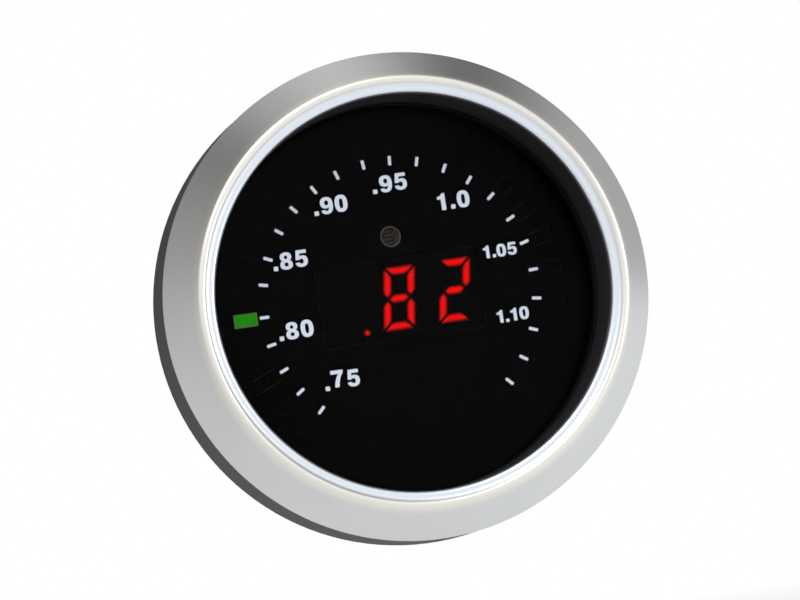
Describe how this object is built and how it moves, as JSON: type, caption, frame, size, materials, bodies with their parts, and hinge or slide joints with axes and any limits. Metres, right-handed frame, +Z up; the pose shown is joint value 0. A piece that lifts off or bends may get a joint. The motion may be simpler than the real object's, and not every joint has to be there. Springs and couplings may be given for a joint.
{
  "type": "air fuel ratio gauge",
  "caption": "Round panel gauge with a numbered dial, a ring of lights, a digital readout, a screw-on silver bezel and a rear clamp bracket.",
  "frame": {"origin": "on the gauge's axis, in the plane of the panel's front surface, where the head's gasket rests and the barrel's register starts", "axes": "+Y along the axis, back into the panel; the face looks along -Y; +Z is up on the dial and +X is to the right of a person reading it"},
  "size_m": [0.0592, 0.0585, 0.0592],
  "materials": {
    "housing_black": "satin black moulded nylon",
    "cover_black": "fine textured black moulding",
    "gasket_rubber": "matt black rubber",
    "bezel_silver": "satin anodised land with polished rolls",
    "lens_smoke": "clear smoked polycarbonate",
    "sleeve_black": "satin black",
    "dial_black": "matt black printed plate",
    "display_black": "gloss black display face",
    "segment_lit": "lit red diffuser",
    "segment_dark": "unlit smoked diffuser",
    "pipe_lit": "lit green light pipe",
    "pipe_dark": "unlit smoked light pipe",
    "baffle_black": "matt black moulding",
    "chip_white": "white light chip",
    "sensor_ceramic": "coated ceramic disc",
    "board_green": "green solder mask",
    "chip_black": "moulded epoxy",
    "capacitor_sleeve": "shrunk sleeve",
    "ferrite": "dark ferrite",
    "tin": "tinned metal",
    "contact_gold": "gold flashed contacts",
    "connector_black": "black moulded shroud",
    "zinc_steel": "bright zinc plated steel",
    "bracket_steel": "zinc plated strip",
    "brass": "turned brass"
  },
  "bodies": {
    "gauge_body": {"housing": "housing_black", "panel_gasket": "gasket_rubber", "rear_cover": "cover_black", "cover_seal": "gasket_rubber", "cover_screws": "zinc_steel", "bracket_studs": "zinc_steel", "sensor_connector": "connector_black", "sensor_pins": "contact_gold", "power_connector": "connector_black", "power_pins": "contact_gold", "main_board": "board_green", "microcontroller": "chip_black", "sensor_controller": "chip_black", "supply_capacitors": "capacitor_sleeve", "power_inductor": "ferrite", "crystal": "tin", "voltage_regulator": "chip_black", "link_socket": "connector_black", "link_pins": "contact_gold", "board_spacers": "brass", "spacer_screws": "zinc_steel", "display_board": "board_green", "display_driver": "chip_black", "display_module": "display_black", "display_pins": "tin", "lit_segments": "segment_lit", "dark_segments": "segment_dark", "photoresistor": "sensor_ceramic", "photoresistor_leads": "tin", "light_baffle": "baffle_black", "light_chips": "chip_white", "light_pipes": "pipe_dark", "lit_light_pipe": "pipe_lit", "dial_plate": "dial_black", "spacer_ring": "baffle_black", "lens_gasket": "gasket_rubber"},
    "lens_carrier": {"lens": "lens_smoke", "lens_sleeve": "sleeve_black"},
    "bezel": {"bezel": "bezel_silver"},
    "clamp": {"clamp_bracket": "bracket_steel", "lock_washers": "zinc_steel"},
    "nut_top": {"thumb_nut_top": "brass"},
    "nut_bottom": {"thumb_nut_bottom": "brass"}
  },
  "joints": [
    {"name": "bezel_lift", "type": "slide", "parent": "gauge_body", "child": "lens_carrier", "axis": [0, -1, 0], "range_m": [0, 0.00401]},
    {"name": "bezel_turn", "type": "hinge", "parent": "lens_carrier", "child": "bezel", "pos_m": [0, -0.0148, 0], "axis": [0, -1, 0], "range_deg": [0, 720]},
    {"name": "clamp_slide", "type": "slide", "parent": "gauge_body", "child": "clamp", "axis": [0, 1, 0], "range_m": [0, 0.0028]},
    {"name": "nut_top_turn", "type": "hinge", "parent": "clamp", "child": "nut_top", "pos_m": [0, 0.034, 0.017], "axis": [0, 1, 0], "range_deg": [0, 1440.5]},
    {"name": "nut_bottom_turn", "type": "hinge", "parent": "clamp", "child": "nut_bottom", "pos_m": [0, 0.034, -0.017], "axis": [0, 1, 0], "range_deg": [0, 1440.5]}
  ],
  "couplings": [
    {"joint": "bezel_lift", "follows": "bezel_turn", "m_per_rad": 0.00031831},
    {"joint": "nut_top_turn", "follows": "clamp_slide", "rad_per_m": 8976},
    {"joint": "nut_bottom_turn", "follows": "clamp_slide", "rad_per_m": 8976}
  ]
}
